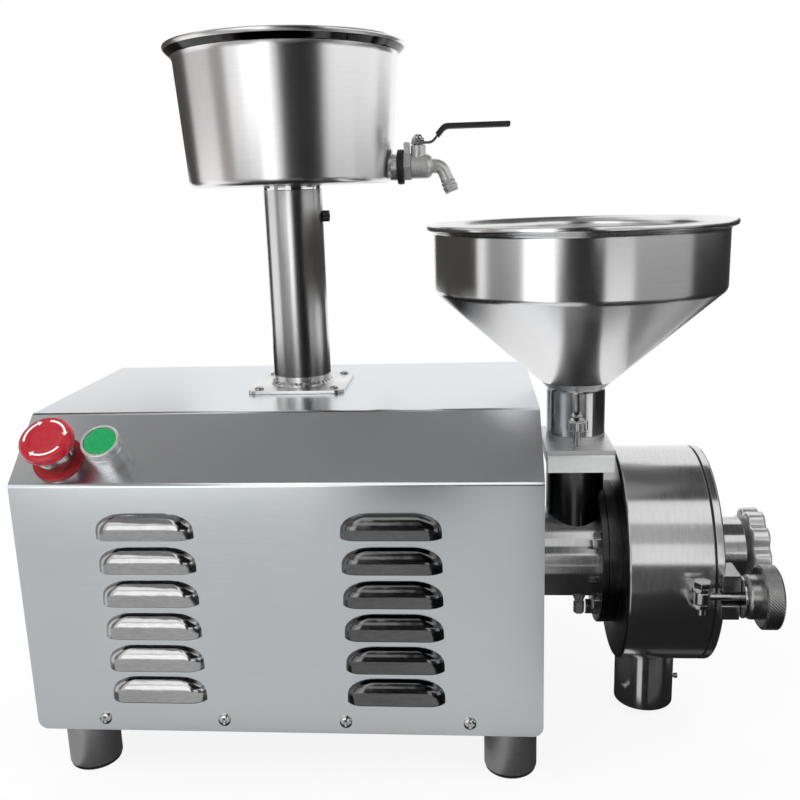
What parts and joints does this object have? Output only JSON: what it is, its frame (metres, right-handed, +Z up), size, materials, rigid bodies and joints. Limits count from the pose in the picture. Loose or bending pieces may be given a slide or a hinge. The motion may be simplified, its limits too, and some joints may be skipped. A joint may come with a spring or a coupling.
{
  "type": "electric grain mill",
  "caption": "Bench grain mill: sloped louvred cabinet with motor, side grinding drum with hinged door, feed gate and cone hopper, and a tapped water tank on a mast",
  "frame": {"origin": "centre of the bounding box at floor level, z = 0 on the undersides of the rubber feet", "axes": "+X along the cabinet to the grinding drum, +Y from the front face to the back, +Z up"},
  "size_m": [0.614, 0.2926, 0.5978],
  "materials": {
    "stainless_sheet": "satin polished stainless sheet",
    "stainless_bright": "bright polished stainless",
    "plated_steel": "nickel plated, bright",
    "machined_steel": "machined",
    "cast_disc": "ground faces",
    "motor_paint": "grey-blue enamel",
    "black_rubber": "matt rubber",
    "black_plastic": "moulded plastic",
    "red_plastic": "gloss moulded plastic",
    "green_plastic": "gloss moulded plastic",
    "red_spider": "polyurethane",
    "aluminium_can": "drawn can",
    "brass_nut": "machined brass"
  },
  "bodies": {
    "cabinet": {"base_tray": "stainless_sheet", "cabinet_cover": "stainless_sheet", "left_end_panel": "stainless_sheet", "right_end_panel": "stainless_sheet", "pan_screws": "plated_steel", "foot_tubes": "stainless_sheet", "foot_pads": "black_rubber", "cable_gland": "black_plastic", "estop_collar": "plated_steel", "estop_backplate": "red_plastic", "start_bezel": "plated_steel", "switch_blocks": "black_plastic", "contactor": "black_plastic", "motor_casing": "motor_paint", "motor_cowl": "black_plastic", "capacitor": "aluminium_can", "mill_bearings": "machined_steel", "shaft_seal": "black_rubber", "spindle_housing": "stainless_sheet", "spindle_pedestal": "stainless_sheet", "hex_bolts": "plated_steel", "feed_tube": "stainless_sheet", "drain_plug": "plated_steel", "chamber_body": "stainless_sheet", "outlet_spout": "stainless_sheet", "pivot_pins": "plated_steel", "gate_frame": "stainless_sheet", "mast": "stainless_sheet"},
    "drive_line": {"motor_rotor": "machined_steel", "motor_fan": "black_plastic", "coupling_hubs": "machined_steel", "coupling_spider": "red_spider", "mill_shaft": "machined_steel", "rotating_disc": "cast_disc"},
    "door": {"chamber_door": "stainless_sheet", "door_gasket": "black_rubber"},
    "adjuster": {"adjust_knob": "stainless_bright"},
    "carrier": {"disc_carrier": "machined_steel", "fixed_disc": "cast_disc"},
    "swing": {"swing_bolt": "plated_steel"},
    "washer": {"clamp_washer": "plated_steel"},
    "nut": {"clamp_nut": "stainless_bright"},
    "gate": {"gate_slide": "stainless_bright"},
    "gate_lock": {"gate_screw": "plated_steel"},
    "hopper": {"hopper": "stainless_bright"},
    "collar": {"mast_collar": "stainless_bright"},
    "tank": {"tank_post": "stainless_sheet", "tank_bowl": "stainless_bright", "tap_gasket": "black_rubber", "tap_locknut": "brass_nut", "tap_body": "plated_steel"},
    "tap": {"tap_stem_part": "plated_steel", "tap_lever": "plated_steel", "tap_sleeve": "black_rubber", "tap_nut": "plated_steel"},
    "mast_lock": {"mast_clamp_screw": "black_plastic"},
    "stop_plunger": {"estop_stem": "machined_steel"},
    "stop_head": {"estop_head": "red_plastic"},
    "start": {"start_cap": "green_plastic"}
  },
  "joints": [
    {"name": "drive_spin", "type": "hinge", "parent": "cabinet", "child": "drive_line", "pos_m": [0.1746, 0.01756, 0.152], "axis": [1, 0, 0], "continuous": true},
    {"name": "door_swing", "type": "hinge", "parent": "cabinet", "child": "door", "pos_m": [0.244, 0.12556, 0.152], "axis": [0, 0, 1], "range_deg": [0, 110]},
    {"name": "adjust_turn", "type": "hinge", "parent": "door", "child": "adjuster", "pos_m": [0.1746, 0.01756, 0.152], "axis": [1, 0, 0], "range_deg": [0, 720]},
    {"name": "disc_advance", "type": "slide", "parent": "door", "child": "carrier", "axis": [-1, 0, 0], "range_m": [0, 0.003]},
    {"name": "bolt_swing", "type": "hinge", "parent": "cabinet", "child": "swing", "pos_m": [0.23, -0.09044, 0.157], "axis": [0, 0, -1], "range_deg": [0, 100]},
    {"name": "nut_advance", "type": "slide", "parent": "swing", "child": "washer", "axis": [1, 0, 0], "range_m": [0, 0.012]},
    {"name": "nut_turn", "type": "hinge", "parent": "washer", "child": "nut", "pos_m": [0.261, -0.09044, 0.157], "axis": [1, 0, 0], "range_deg": [0, 2880]},
    {"name": "gate_pull", "type": "slide", "parent": "cabinet", "child": "gate", "axis": [0, -1, 0], "range_m": [0, 0.052]},
    {"name": "gate_lock_turn", "type": "hinge", "parent": "cabinet", "child": "gate_lock", "pos_m": [0.13918, -0.01751, 0.248], "axis": [0, 0, 1], "range_deg": [0, 360]},
    {"name": "hopper_lift", "type": "slide", "parent": "cabinet", "child": "hopper", "axis": [0, 0, 1], "range_m": [0, 0.025]},
    {"name": "tank_turn", "type": "hinge", "parent": "cabinet", "child": "collar", "pos_m": [-0.102, 0.02506, 0.4807], "axis": [0, 0, 1], "continuous": true},
    {"name": "tank_lift", "type": "slide", "parent": "collar", "child": "tank", "axis": [0, 0, 1], "range_m": [0, 0.07]},
    {"name": "tap_turn", "type": "hinge", "parent": "tank", "child": "tap", "pos_m": [0.0074, 0.02506, 0.5151], "axis": [0, 0, -1], "range_deg": [0, 90]},
    {"name": "mast_lock_turn", "type": "hinge", "parent": "cabinet", "child": "mast_lock", "pos_m": [-0.102, 0.02506, 0.458], "axis": [1, 0, 0], "range_deg": [0, 360]},
    {"name": "stop_push", "type": "slide", "parent": "cabinet", "child": "stop_plunger", "axis": [0, 0.6388, -0.7694], "range_m": [0, 0.005], "stiffness_N_per_m": 800, "springref_m": -0.003},
    {"name": "stop_twist", "type": "hinge", "parent": "stop_plunger", "child": "stop_head", "pos_m": [-0.2725, -0.11198, 0.28033], "axis": [0, 0.6388, -0.7694], "range_deg": [0, 45], "stiffness_Nm_per_rad": 0.05, "springref_deg": -5.73},
    {"name": "start_push", "type": "slide", "parent": "cabinet", "child": "start", "axis": [0, 0.6388, -0.7694], "range_m": [0, 0.004], "stiffness_N_per_m": 500, "springref_m": -0.002}
  ],
  "couplings": [
    {"joint": "disc_advance", "follows": "adjust_turn", "m_per_rad": 0.0002387},
    {"joint": "nut_advance", "follows": "nut_turn", "m_per_rad": 0.0002387}
  ]
}
